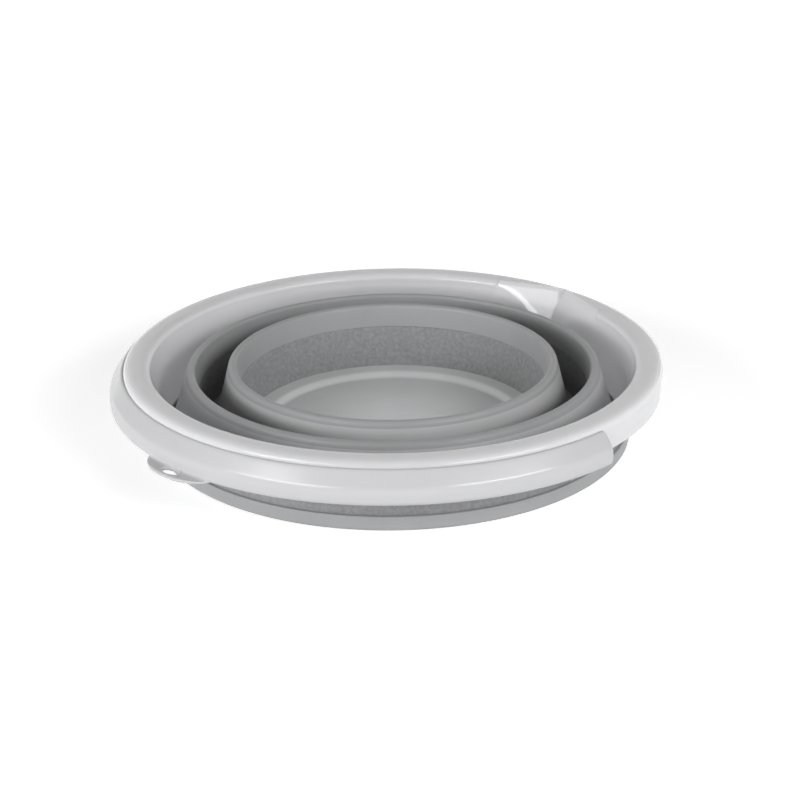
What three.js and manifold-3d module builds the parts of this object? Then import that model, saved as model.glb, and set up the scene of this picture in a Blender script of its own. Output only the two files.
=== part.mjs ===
// Collapsible bucket, folded flat, in millimetres with +Z up.
// A hard rim, a hard base and stiff hoops are joined by soft walls. Two of those walls, the folds,
// stand up inside their neighbours when the bucket is flat and turn over when it is pulled open.
// The origin is the middle of the base's underside, on the surface that the bucket stands on.
// The handle's pivots lie along X, its hanging tab is at -Y and the pouring spout is at +Y.
import * as THREE from 'three';
import { ConvexGeometry } from 'three/addons/geometries/ConvexGeometry.js';
import { mergeVertices } from 'three/addons/utils/BufferGeometryUtils.js';
import Module from 'manifold-3d';

const wasm = await Module();
wasm.setup();

// Overall sizes
const RIM_RADIUS = 161;
const FOLDED_HEIGHT = 50;

// Rim: a collar that leans outwards, a rounded crown and a short skirt outside
const RIM_WALL = 2;
const CROWN_WIDTH = 16.2;
const CROWN_HEIGHT = 5.2;
const CROWN_SQUARENESS = 2.6;
const SKIRT_DEPTH = 18.8;
const SKIRT_LEAN = 0.6;
const COLLAR_LEAN = 7.8;
const RIM_RIB_COUNT = 16;
const RIM_RIB_WALL = 1.6;
const RIM_RIB_DEPTH = 12;

// Spout: a V pressed outwards into the collar and crown
const SPOUT_WIDTH = 84;
const SPOUT_REACH = 12.6;
const SPOUT_DEPTH = 33;

// Soft walls and stiff hoops
const SLEEVE_WALL = 1.5;
const SLEEVE_DROP = 15;
const SOFT_WALL = 1.8;
const SOFT_INSET = 0.8;
const FOLD_WALL = 1.4;
const FOLD_FOOT = 2;
const UPPER_FOLD_RUN = 11.7;
const LOWER_FOLD_RUN = 10.1;
const FOOT_HOOP_WIDTH = 6.2;
const FOOT_HOOP_HEIGHT = 9;
const FOOT_HOOP_PROUD = 1.7;
const FOOT_HOOP_ROUND = 2.4;
const LIP_WIDTH = 5.5;
const LIP_HEIGHT = 4;
const LIP_ROUND = 2.2;
const LIP_BAND_WALL = 3.4;
const LIP_BAND_HEIGHT = 14;
const MIDDLE_LIP_DROP = 5.6;
const BASE_LIP_DROP = 3.6;
const TIER_LEAN = 0.157;

// Base: a flat floor, a rounded step up to a ledge, and below it a gate pad, ribs and a foot ring
const FLOOR_WALL = 3.2;
const FLOOR_UPSTAND = 7;
const FLOOR_EDGE_ROUND = 2;
const FLOOR_LEDGE = 8.2;
const FLOOR_LEDGE_DROP = 0.8;
const FLOOR_STEP = 3.4;
const UNDERSIDE_RECESS = 1.2;
const GATE_PAD_RADIUS = 24;
const FOOT_RING_WIDTH = 13;
const BASE_RIB_COUNT = 12;
const BASE_RIB_WALL = 2;

// Handle: a half ring with a soft ridge outside, open pockets behind and a snap peg at each end
const HANDLE_GAP = 0.6;
const HANDLE_HEIGHT = 18.5;
const HANDLE_DEPTH = 8.1;
const HANDLE_TOP_EDGE = 0.8;
const HANDLE_RIDGE_DROP = 7.6;
const HANDLE_RIDGE_SET = 1.8;
const HANDLE_FOOT_ROUND = 3.4;
const HANDLE_END_REACH = 5.5;
const PIVOT_DROP = 13.2;
const HANDLE_SKIN = 3;
const HANDLE_FLANGE = 3.2;
const HANDLE_POCKET_COUNT = 10;
const HANDLE_RIB_WALL = 2.4;
const HANDLE_SOLID_END = 24;
const PEG_RADIUS = 3.5;
const PEG_CLEARANCE = 0.3;
const PEG_HEAD_RADIUS = 4.8;
const PEG_HEAD_LENGTH = 3.6;
const EAR_RADIUS = 8.5;
const EAR_WALL = 4.2;

// Hanging tab under the middle of the handle
const TAB_REACH = 9.3;
const TAB_WALL = 2.2;
const TAB_ROUND = 30;
const TAB_SINK = 1.6;
const HANG_HOLE_WIDTH = 14;
const HANG_HOLE_REACH = 7.2;
const HANG_HOLE_EDGE = 2.2;

// Gap left between pieces that are bonded together
const SEAM = 0.3;

// Facets
const ROUND_STEPS = 48;
const CORNER_STEPS = 2;
const CROWN_STEPS = 10;
const PEG_STEPS = 20;
const HANDLE_CURVE_STEPS = 4;
const HANDLE_END_STEPS = 4;

// Heights that the pieces share
const crownBase = FOLDED_HEIGHT - CROWN_HEIGHT;
const collarFoot = FOOT_HOOP_HEIGHT + SEAM;
const skirtFoot = FOLDED_HEIGHT - SKIRT_DEPTH;
const pivotHeight = FOLDED_HEIGHT - PIVOT_DROP;

// Radii of the rim
const crownMiddle = RIM_RADIUS - CROWN_WIDTH / 2;
const mouthRadius = RIM_RADIUS - CROWN_WIDTH;
const collarSlope = COLLAR_LEAN / (crownBase - collarFoot);

function collarInside(z) {
  return mouthRadius - collarSlope * (crownBase - z);
}

function sleeveInside(z) {
  return collarInside(z) + RIM_WALL + SEAM;
}

// Each tier hangs its foot hoop and fold from the one outside it.
const upperHoop = { outer: sleeveInside(collarFoot) + SLEEVE_WALL + FOOT_HOOP_PROUD };
upperHoop.inner = upperHoop.outer - FOOT_HOOP_WIDTH;

function tierInside(hoop, foldRun, lipDrop) {
  const foldFootRadius = hoop.inner - SEAM;
  const lipOuter = foldFootRadius - foldRun;
  const lipTop = FOLDED_HEIGHT - lipDrop;
  const lipInner = lipOuter - LIP_WIDTH;
  const lipFoot = lipTop - LIP_HEIGHT;
  return {
    foldFootRadius,
    lipOuter,
    lipTop,
    lipFoot,
    bandFoot: lipTop - LIP_BAND_HEIGHT,
    foldSlope: foldRun / (lipFoot - SEAM - FOLD_FOOT),
    face: (z) => lipInner - TIER_LEAN * (lipTop - z),
  };
}

const middleTier = tierInside(upperHoop, UPPER_FOLD_RUN, MIDDLE_LIP_DROP);
const middleHoop = { outer: middleTier.face(collarFoot) + SOFT_INSET + SOFT_WALL };
middleHoop.inner = middleHoop.outer - FOOT_HOOP_WIDTH;
const baseTier = tierInside(middleHoop, LOWER_FOLD_RUN, BASE_LIP_DROP);

// Radii of the handle, and the rim's ears that its pegs snap into
const handleInner = RIM_RADIUS + HANDLE_GAP;
const handleOuter = handleInner + HANDLE_DEPTH;
const handleEdge = handleInner + HANDLE_TOP_EDGE;
const handleSlope = (handleOuter - HANDLE_RIDGE_SET - handleEdge) / HANDLE_RIDGE_DROP;
const earFace = RIM_RADIUS - SEAM;
const earBack = earFace - EAR_WALL;
const pegHoleRadius = PEG_RADIUS + PEG_CLEARANCE;

// Geometry helpers

function solidOf(geometry) {
  const bare = geometry.clone();
  bare.deleteAttribute('normal');
  bare.deleteAttribute('uv');
  const merged = mergeVertices(bare, 1e-4);
  return new wasm.Manifold(new wasm.Mesh({
    numProp: 3,
    vertProperties: Float32Array.from(merged.attributes.position.array),
    triVerts: Uint32Array.from(merged.index.array),
  }));
}

function geometryOf(solid) {
  const mesh = solid.getMesh();
  const geometry = new THREE.BufferGeometry();
  geometry.setAttribute('position', new THREE.BufferAttribute(mesh.vertProperties, 3));
  geometry.setIndex(new THREE.BufferAttribute(mesh.triVerts, 1));
  geometry.computeVertexNormals();
  return geometry;
}

// Turns a profile of [radius, height] pairs, listed anticlockwise, about Z.
function revolve(profile) {
  const points = profile.map(([radius, z]) => new THREE.Vector2(radius, z));
  const onAxis = profile[0][0] === 0 && profile.at(-1)[0] === 0;
  if (!onAxis) points.push(points[0].clone());
  return new THREE.LatheGeometry(points, ROUND_STEPS).rotateX(Math.PI / 2);
}

// A quarter of an ellipse about a centre, anticlockwise from a part of a turn
function corner(radius, z, across, fromTurn, up = across) {
  return Array.from({ length: CORNER_STEPS + 1 }, (_, i) => {
    const angle = (fromTurn + i / CORNER_STEPS / 4) * 2 * Math.PI;
    return [radius + across * Math.cos(angle), z + up * Math.sin(angle)];
  });
}

// Joins rings of points, all of one length and anticlockwise as seen from the first ring, into a closed body.
function loft(rings) {
  const count = rings[0].length;
  const last = (rings.length - 1) * count;
  const index = [];
  for (let ring = 0; ring < rings.length - 1; ring += 1) {
    for (let i = 0; i < count; i += 1) {
      const a = ring * count + i;
      const b = ring * count + (i + 1) % count;
      index.push(a, b + count, b, a, a + count, b + count);
    }
  }
  for (let i = 1; i < count - 1; i += 1) {
    index.push(0, i, i + 1, last, last + i + 1, last + i);
  }
  const geometry = new THREE.BufferGeometry().setFromPoints(rings.flat());
  geometry.setIndex(index);
  return geometry;
}

// A cylinder along X between two planes, with its own radius at each end.
function pegBetween(low, high, lowRadius, highRadius) {
  const length = high - low;
  const peg = new THREE.CylinderGeometry(highRadius, lowRadius, length, PEG_STEPS);
  return peg.rotateZ(-Math.PI / 2).translate(low + length / 2, 0, 0);
}

// A crown: the upper half of a squared ellipse, from the outside in.
function crownArc(halfWidth, height) {
  const power = 2 / CROWN_SQUARENESS;
  return Array.from({ length: CROWN_STEPS + 1 }, (_, i) => {
    const angle = Math.PI * i / CROWN_STEPS;
    const across = Math.sign(Math.cos(angle)) * Math.abs(Math.cos(angle)) ** power;
    return [crownMiddle + halfWidth * across, crownBase + height * Math.sin(angle) ** power];
  });
}

// Spout: two flat faces that meet in a crease, from the collar out to the crown
function spoutWedge(shift) {
  const half = SPOUT_WIDTH / 2;
  const top = new THREE.Vector3(0, mouthRadius + SPOUT_REACH, FOLDED_HEIGHT);
  const footHeight = FOLDED_HEIGHT - SPOUT_DEPTH;
  const foot = new THREE.Vector3(0, collarInside(footHeight), footHeight);
  const side = new THREE.Vector3(half, Math.sqrt(mouthRadius ** 2 - half ** 2), crownBase);
  const crease = top.clone().sub(foot);
  const normal = crease.clone().cross(side.clone().sub(foot)).normalize();
  const push = new THREE.Vector3(0, shift / normal.y, 0);
  const back = collarInside(collarFoot) - COLLAR_LEAN - SPOUT_WIDTH / 2;
  const points = [];
  for (const along of [-1, 0.5]) {
    const slide = crease.clone().multiplyScalar(along);
    const sideEnd = side.clone().add(slide).add(push);
    points.push(top.clone().add(slide).add(push), sideEnd);
    points.push(sideEnd.clone().setX(-half));
    points.push(new THREE.Vector3(half, back, sideEnd.z), new THREE.Vector3(-half, back, sideEnd.z));
  }
  return solidOf(new ConvexGeometry(points));
}

function ribRing(count, inner, outer, bottom, top, wall) {
  const ribs = Array.from({ length: count }, (_, i) => {
    const rib = new THREE.BoxGeometry(outer - inner, wall, top - bottom);
    rib.translate((inner + outer) / 2, 0, (bottom + top) / 2);
    return solidOf(rib.rotateZ((i + 0.5) / count * 2 * Math.PI));
  });
  return wasm.Manifold.union(ribs);
}

// Pieces

function rim() {
  const half = CROWN_WIDTH / 2;
  const inside = crownArc(half - RIM_WALL, CROWN_HEIGHT - RIM_WALL).reverse();
  const shell = solidOf(revolve([
    [RIM_RADIUS - SKIRT_LEAN, skirtFoot],
    ...crownArc(half, CROWN_HEIGHT),
    [collarInside(collarFoot), collarFoot],
    [collarInside(collarFoot) + RIM_WALL, collarFoot],
    ...inside,
    [RIM_RADIUS - SKIRT_LEAN - RIM_WALL, skirtFoot],
  ]));
  const middle = RIM_WALL / 2;
  const channel = solidOf(revolve([
    [RIM_RADIUS - SKIRT_LEAN - middle, skirtFoot],
    ...crownArc(half - middle, CROWN_HEIGHT - middle),
    [collarInside(collarFoot) + middle, collarFoot],
  ]));
  const ribFoot = FOLDED_HEIGHT - RIM_RIB_DEPTH;
  const ribs = ribRing(
    RIM_RIB_COUNT, collarInside(ribFoot), RIM_RADIUS, ribFoot, FOLDED_HEIGHT, RIM_RIB_WALL);
  const backing = ribs.add(spoutWedge(RIM_WALL)).intersect(channel);
  const ears = [];
  const holes = [];
  for (const turn of [0, Math.PI]) {
    const ear = pegBetween(earBack, earFace, EAR_RADIUS, EAR_RADIUS);
    const hole = pegBetween(earBack - SEAM, RIM_RADIUS + SEAM, pegHoleRadius, pegHoleRadius);
    ears.push(solidOf(ear.rotateZ(turn).translate(0, 0, pivotHeight)));
    holes.push(solidOf(hole.rotateZ(turn).translate(0, 0, pivotHeight)));
  }
  const cuts = wasm.Manifold.union([spoutWedge(0), ...holes]);
  return geometryOf(wasm.Manifold.union([shell, backing, ...ears]).subtract(cuts));
}

// The soft wall outside the collar, open where the spout comes through
function upperWall() {
  const top = FOLDED_HEIGHT - SLEEVE_DROP;
  const sleeve = revolve([
    [sleeveInside(collarFoot), collarFoot],
    [sleeveInside(collarFoot) + SLEEVE_WALL, collarFoot],
    [sleeveInside(top) + SLEEVE_WALL, top],
    [sleeveInside(top), top],
  ]);
  return geometryOf(solidOf(sleeve).subtract(spoutWedge(RIM_WALL + SEAM)));
}

function footHoop({ inner, outer }) {
  const round = FOOT_HOOP_ROUND;
  return revolve([
    ...corner(inner + round, round, round, 0.5),
    ...corner(outer - round, round, round, 0.75),
    [outer, FOOT_HOOP_HEIGHT],
    [inner, FOOT_HOOP_HEIGHT],
  ]);
}

// A fold stands on its foot and leans inwards to the underside of the lip it carries.
function fold(tier) {
  const top = tier.lipFoot - SEAM;
  return revolve([
    [tier.foldFootRadius - FOLD_WALL, FOLD_FOOT],
    [tier.foldFootRadius, FOLD_FOOT],
    [tier.lipOuter, top],
    [tier.lipOuter - FOLD_WALL, top],
  ]);
}

// A lip that carries on the lean of its fold outside, with a band below it inside
function lipHoop(tier) {
  const round = LIP_ROUND;
  const shoulder = tier.lipTop - round;
  const shoulderRadius = tier.lipOuter - tier.foldSlope * (shoulder - tier.lipFoot);
  return revolve([
    [tier.face(tier.bandFoot), tier.bandFoot],
    [tier.face(tier.bandFoot) + LIP_BAND_WALL, tier.bandFoot],
    [tier.face(tier.lipFoot) + LIP_BAND_WALL, tier.lipFoot],
    [tier.lipOuter, tier.lipFoot],
    ...corner(shoulderRadius - round, shoulder, round, 0),
    ...corner(tier.face(shoulder) + round, shoulder, round, 0.25),
  ]);
}

// The soft wall under a lip's band, set back from the band's face
function tierWall(tier, bottom) {
  const top = tier.bandFoot - SEAM;
  return revolve([
    [tier.face(bottom) + SOFT_INSET, bottom],
    [tier.face(bottom) + SOFT_INSET + SOFT_WALL, bottom],
    [tier.face(top) + SOFT_INSET + SOFT_WALL, top],
    [tier.face(top) + SOFT_INSET, top],
  ]);
}

function baseFloor() {
  const wall = baseTier.face(FLOOR_UPSTAND);
  const outer = wall + SOFT_INSET + SOFT_WALL;
  const ringInner = outer - FOOT_RING_WIDTH;
  const ledge = FLOOR_UPSTAND - FLOOR_LEDGE_DROP;
  const ledgeInner = wall - FLOOR_LEDGE;
  const stepMiddle = (ledge + FLOOR_WALL) / 2;
  const stepHalf = (ledge - FLOOR_WALL) / 2;
  const plate = solidOf(revolve([
    [0, 0],
    [GATE_PAD_RADIUS, 0],
    [GATE_PAD_RADIUS, UNDERSIDE_RECESS],
    [ringInner, UNDERSIDE_RECESS],
    [ringInner, 0],
    ...corner(outer - FLOOR_EDGE_ROUND, FLOOR_EDGE_ROUND, FLOOR_EDGE_ROUND, 0.75),
    [outer, FLOOR_UPSTAND],
    [wall, FLOOR_UPSTAND],
    [wall - FLOOR_LEDGE_DROP, ledge],
    ...corner(ledgeInner, stepMiddle, FLOOR_STEP / 2, 0.25, stepHalf),
    ...corner(ledgeInner - FLOOR_STEP, stepMiddle, FLOOR_STEP / 2, 0.75, stepHalf).reverse().slice(1),
    [0, FLOOR_WALL],
  ]));
  const ribs = ribRing(
    BASE_RIB_COUNT, GATE_PAD_RADIUS - BASE_RIB_WALL, ringInner + BASE_RIB_WALL,
    0, FLOOR_WALL / 2, BASE_RIB_WALL);
  return geometryOf(plate.add(ribs));
}

// A point on the handle, about its own pivot axis
function around(angle, radius, z) {
  return new THREE.Vector3(radius * Math.cos(angle), radius * Math.sin(angle), z);
}

// The handle's section: a slanting face from the top edge to a soft ridge, then down to a rounded foot
function handleOutline() {
  const half = HANDLE_HEIGHT / 2;
  const ridge = half - HANDLE_RIDGE_DROP;
  const outline = new THREE.Path();
  outline.moveTo(handleInner, half);
  outline.lineTo(handleInner, -half);
  outline.lineTo(handleOuter - HANDLE_FOOT_ROUND, -half);
  outline.quadraticCurveTo(handleOuter, -half, handleOuter, HANDLE_FOOT_ROUND - half);
  outline.quadraticCurveTo(
    handleOuter, ridge - HANDLE_RIDGE_SET / handleSlope, handleOuter - HANDLE_RIDGE_SET, ridge);
  outline.lineTo(handleEdge, half);
  return outline.getPoints(HANDLE_CURVE_STEPS);
}

const handlePoints = handleOutline();

// The section at one place along the handle's arc, shrunk by fullness where its end is rounded off
function handleSection(angle, fullness) {
  return handlePoints.map(({ x: radius, y: z }) =>
    around(angle, handleInner + (radius - handleInner) * fullness, z * fullness));
}

function handleArc() {
  const stations = [];
  for (let i = HANDLE_END_STEPS; i >= 1; i -= 1) {
    const turn = Math.PI / 2 * i / (HANDLE_END_STEPS + 0.5);
    stations.push([-HANDLE_END_REACH * Math.sin(turn) / handleInner, Math.cos(turn)]);
  }
  const ends = stations.map(([offset, fullness]) => handleSection(Math.PI + offset, fullness));
  const steps = ROUND_STEPS / 2;
  for (let i = 0; i <= steps; i += 1) {
    ends.push(handleSection(Math.PI * (1 + i / steps), 1));
  }
  stations.reverse();
  for (const [offset, fullness] of stations) {
    ends.push(handleSection(2 * Math.PI - offset, fullness));
  }
  return solidOf(loft(ends));
}

// Pockets in the back of the handle, under an even skin, with a cross rib between each and the next
function handlePockets() {
  const floor = handleOuter - HANDLE_SKIN;
  const mouth = HANDLE_HEIGHT / 2 - HANDLE_FLANGE;
  const draft = mouth - HANDLE_FLANGE / 2;
  const skin = HANDLE_SKIN * Math.hypot(1, handleSlope);
  const under = (radius) => HANDLE_HEIGHT / 2 - (radius + skin - handleEdge) / handleSlope;
  const first = Math.PI + HANDLE_SOLID_END / handleInner;
  const pitch = (2 * Math.PI - first - HANDLE_SOLID_END / handleInner) / HANDLE_POCKET_COUNT;
  const gap = HANDLE_RIB_WALL / handleInner / 2;
  const pockets = [];
  for (let i = 0; i < HANDLE_POCKET_COUNT; i += 1) {
    const sections = [0, 0.5, 1].map((part) => {
      const angle = first + pitch * i + gap + (pitch - 2 * gap) * part;
      return [
        around(angle, RIM_RADIUS, Math.min(mouth, under(RIM_RADIUS))),
        around(angle, RIM_RADIUS, -mouth),
        around(angle, floor, -draft),
        around(angle, floor, under(floor)),
      ];
    });
    pockets.push(solidOf(loft(sections)));
  }
  return wasm.Manifold.union(pockets);
}

// A tongue with a round tip, whose sides spread out at 45 degrees to the handle's lower edge
function hangingTab() {
  const tip = handleOuter + TAB_REACH;
  const root = handleEdge;
  const side = TAB_ROUND * Math.SQRT1_2;
  const shoulder = tip - TAB_ROUND + side;
  const spread = side + shoulder - root;
  const outline = new THREE.Shape();
  outline.moveTo(-spread, -root);
  outline.lineTo(-side, -shoulder);
  outline.absarc(0, TAB_ROUND - tip, TAB_ROUND, Math.PI * 1.25, Math.PI * 1.75, false);
  outline.lineTo(spread, -root);
  const hole = new THREE.Path();
  hole.absellipse(
    0, HANG_HOLE_EDGE + HANG_HOLE_REACH / 2 - tip, HANG_HOLE_WIDTH / 2, HANG_HOLE_REACH / 2,
    0, 2 * Math.PI, true);
  outline.holes.push(hole);
  const tab = new THREE.ExtrudeGeometry(outline, { depth: TAB_WALL, bevelEnabled: false, curveSegments: 8 });
  const bottom = TAB_SINK - TAB_WALL - HANDLE_HEIGHT / 2;
  return solidOf(tab.translate(0, 0, bottom));
}

function snapPeg(turn) {
  const headFace = earBack - SEAM;
  const shank = solidOf(pegBetween(headFace - SEAM, handleEdge, PEG_RADIUS, PEG_RADIUS)
    .rotateZ(turn));
  const head = solidOf(pegBetween(headFace - PEG_HEAD_LENGTH, headFace, PEG_RADIUS, PEG_HEAD_RADIUS)
    .rotateZ(turn));
  return shank.add(head);
}

function handle() {
  const bar = handleArc().subtract(handlePockets());
  return geometryOf(wasm.Manifold.union([bar, hangingTab(), snapPeg(0), snapPeg(Math.PI)]));
}

// Materials

const plastic = { metalness: 0, roughness: 0.25 };
const rimPlastic = () => new THREE.MeshStandardMaterial({ color: 0xbfc0c2, ...plastic });
const handlePlastic = () => new THREE.MeshStandardMaterial({ color: 0xd6d6d8, ...plastic });
const floorPlastic = () => new THREE.MeshStandardMaterial({ color: 0xa9aaac, ...plastic });
const hoopPlastic = () => new THREE.MeshStandardMaterial({ color: 0xadaeb0, metalness: 0, roughness: 0.45 });
const softWall = () => new THREE.MeshStandardMaterial({ color: 0x949598, metalness: 0, roughness: 0.75 });

// Assembly

function piece(parent, name, geometry, material) {
  const mesh = new THREE.Mesh(geometry, material);
  mesh.name = name;
  parent.add(mesh);
  return mesh;
}

const bucket = new THREE.Group();

const baseGroup = new THREE.Group();
piece(baseGroup, 'base_floor', baseFloor(), floorPlastic());
piece(baseGroup, 'base_wall', tierWall(baseTier, FLOOR_UPSTAND + SEAM), softWall());
piece(baseGroup, 'base_lip_hoop', lipHoop(baseTier), hoopPlastic());
piece(baseGroup, 'lower_fold', fold(baseTier), softWall());
bucket.add(baseGroup);

const middleGroup = new THREE.Group();
piece(middleGroup, 'middle_foot_hoop', footHoop(middleHoop), hoopPlastic());
piece(middleGroup, 'middle_wall', tierWall(middleTier, collarFoot), softWall());
piece(middleGroup, 'middle_lip_hoop', lipHoop(middleTier), hoopPlastic());
piece(middleGroup, 'upper_fold', fold(middleTier), softWall());
bucket.add(middleGroup);

const rimGroup = new THREE.Group();
piece(rimGroup, 'upper_foot_hoop', footHoop(upperHoop), hoopPlastic());
piece(rimGroup, 'upper_wall', upperWall(), softWall());
piece(rimGroup, 'rim', rim(), rimPlastic());
bucket.add(rimGroup);

piece(rimGroup, 'handle', handle(), handlePlastic()).position.z = pivotHeight;

export default bucket;
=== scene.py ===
"""Collapsible bucket, folded flat: smooth mouldings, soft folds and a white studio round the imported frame."""
from math import acos, atan2, copysign, cos, hypot, pi, radians, remainder, sin, sqrt

import bmesh
import bpy
from bmesh.types import BMEdge, BMVert
from mathutils import Matrix, Quaternion, Vector


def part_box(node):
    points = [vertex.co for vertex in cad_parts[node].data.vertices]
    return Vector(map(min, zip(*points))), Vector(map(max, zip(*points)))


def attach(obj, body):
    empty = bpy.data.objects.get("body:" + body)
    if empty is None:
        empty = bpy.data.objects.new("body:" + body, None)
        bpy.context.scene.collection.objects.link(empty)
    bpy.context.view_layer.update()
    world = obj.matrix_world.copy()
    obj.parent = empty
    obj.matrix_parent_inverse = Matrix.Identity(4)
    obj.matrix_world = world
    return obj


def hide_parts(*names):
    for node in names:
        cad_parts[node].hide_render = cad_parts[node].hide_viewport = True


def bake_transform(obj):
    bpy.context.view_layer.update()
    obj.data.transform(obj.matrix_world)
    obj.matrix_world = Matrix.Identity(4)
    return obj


bl_info = {
    "name": "Collapsible Bucket",
    "version": (1, 0, 0),
    "blender": (4, 5, 0),
    "location": "3D View > Sidebar > Bucket",
    "description": "Models and lights a folding bucket round its CAD frame",
    "category": "Mesh",
}

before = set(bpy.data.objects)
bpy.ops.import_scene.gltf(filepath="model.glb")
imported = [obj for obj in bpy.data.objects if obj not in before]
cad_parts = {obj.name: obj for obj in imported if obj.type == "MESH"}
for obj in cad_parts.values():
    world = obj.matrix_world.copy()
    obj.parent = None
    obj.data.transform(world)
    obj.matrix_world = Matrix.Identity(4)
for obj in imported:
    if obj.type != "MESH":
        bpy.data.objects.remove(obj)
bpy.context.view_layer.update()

# Facets of the round pieces
ROUND_STEPS = 240
CROWN_STEPS = 28
CORNER_STEPS = 4
COLLAR_CUTS = 18
FOLD_CUTS = 40
PEG_STEPS = 40
SECTION_STEPS = 16
FOOT_STEPS = 32
END_STEPS = 12
POCKET_STEPS = 10
BAR_STEPS = 60

# Parts of the round that are swept in finer steps, where the spout and the tab are
SPOUT_BEARING = radians(24)
SPOUT_STEPS = 40
CREASE_BEARING = radians(2.5)
CREASE_STEPS = 30
TAB_BEARING = radians(13)
TAB_STEPS = 64

# How fast the spout's faces fall back past its width, and the halvings that find where they cut the crown
SPOUT_FALL = 1.6
CUT_HALVINGS = 30

# Shares of the tab's outside where its fillet, its top and its tip end, and powers that shape its outline
FILLET_END, TOP_END, TIP_END = 0.35, 0.55, 0.8
TAB_SQUARENESS = 2.4
TAB_BLUNTNESS = 0.75

# Distance at which points on a closed seam are merged, reach of a match, and overlap of bonded pieces
MERGE = 0.000002
NEAR = MERGE * 5
BOND = 0.001

# Angle between faces from which an edge is sharp
SHARP = radians(40)

# How far light goes in milky plastic
MILK_DEPTH = 0.004

# How far the stage's floor lies under the bucket, so that the two are never in one plane
FLOOR_DROP = 0.0002

# Where on the noise the two ends of a drifting colour lie, and how many times larger its patches of gloss are
TINT_ENDS = (0.3, 0.7)
HAZE_SCALE = 3

# Finishes by kind of piece, where they differ from the defaults of moulded
FINISHES = {
    "rim": dict(
        name="milky_grey_plastic", mottle=0.02, mottle_size=0.05, roughness=0.075, roughness_drift=0.02,
        grain_size=0.004, milkiness=0.3),
    "handle": dict(
        name="white_plastic", mottle=0.015, mottle_size=0.06, roughness=0.2, roughness_drift=0.03,
        grain_size=0.004, grain_depth=0.00002),
    "hoop": dict(name="satin_grey_plastic", shine=0.35),
    # The folds' grey is lighter than the hoops' as painted light: it stands in for light from the front on
    # their front-facing sides
    "fold": dict(name="smooth_grey_rubber", shine=0.25),
    "wall": dict(
        name="grained_grey_rubber", mottle=0.14, mottle_size=0.0022, roughness=0.62, roughness_drift=0.06,
        grain_size=0.0007, grain_depth=0.00006, shine=0.25),
    "floor": dict(
        name="glossy_grey_plastic", roughness=0.06, roughness_drift=0.015,
        grain_size=0.006, grain_depth=0.000004),
}

# Tiers that a fold joins to the one outside: body, body outside it, fold, and hoop at the fold's foot
TIERS = (
    ("middle", "rim", "upper_fold", "upper_foot_hoop"),
    ("base", "middle", "lower_fold", "middle_foot_hoop"),
)

# Bearings of the handle's pivots from +X
PIVOTS = (0, pi)

# Shapes of lights: distance from the bucket, width and height
SIDE = (1.4, 0.9, 0.45)
FRONT = (1.5, 0.9, 0.5)
GLINT = (1.5, 0.95, 0.2)
SPOUT_GLINT = (1.5, 0.35, 0.25)

# Lights by name: degrees to the camera's right, degrees up, shape and radiance
SOFT_LIGHTS = {
    "left_softbox": (-80, 9, SIDE, 7.3),
    "right_softbox": (75, 9, SIDE, 2.4),
    "left_key": (-48, 21, FRONT, 4.4),
    "right_key": (44, 30, FRONT, 7.6),
    "fill_softbox": (0, 7, FRONT, 5.8),
    "back_softbox": (180, 10, FRONT, 4.5),
}
RIM_LIGHTS = {
    "left_rim_softbox": (-90, 20, SIDE, 6.2),
    "right_rim_softbox": (90, 20, SIDE, 6.2),
}
GLINTS = {
    "left_glint": (-44, 30.5, GLINT, 9),
    "right_glint": (44, 30.5, GLINT, 9),
    "spout_glint": (-48.6, 37.6, SPOUT_GLINT, 4),
}

# Light over the bucket's floor
WELL_HEIGHT = 0.1
WELL_WIDTH = 0.06
WELL_GLOW = 7.2

# Collections of pieces with lights of their own: the milky rim, and the floor deep in its well
MILKY = "milky_pieces"
WELL = "well_pieces"


# Properties


def length(name, description, default):
    """One size that a user would change."""
    return bpy.props.FloatProperty(
        name=name, description=description, default=default, min=0.0, precision=5,
        unit="LENGTH", subtype="DISTANCE")


def amount(name, description, default):
    """One plain number that a user would change."""
    return bpy.props.FloatProperty(name=name, description=description, default=default, precision=4)


def count(name, description, default):
    """How many of a repeated feature there are."""
    return bpy.props.IntProperty(name=name, description=description, default=default, min=1)


def turn(name, description, degrees):
    """One angle that a user would change."""
    return bpy.props.FloatProperty(
        name=name, description=description, default=radians(degrees), subtype="ANGLE", unit="ROTATION")


def colour(name, description, default):
    """One colour of a finish."""
    return bpy.props.FloatVectorProperty(
        name=name, description=description, default=default, size=3, min=0.0, max=1.0, subtype="COLOR")


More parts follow.
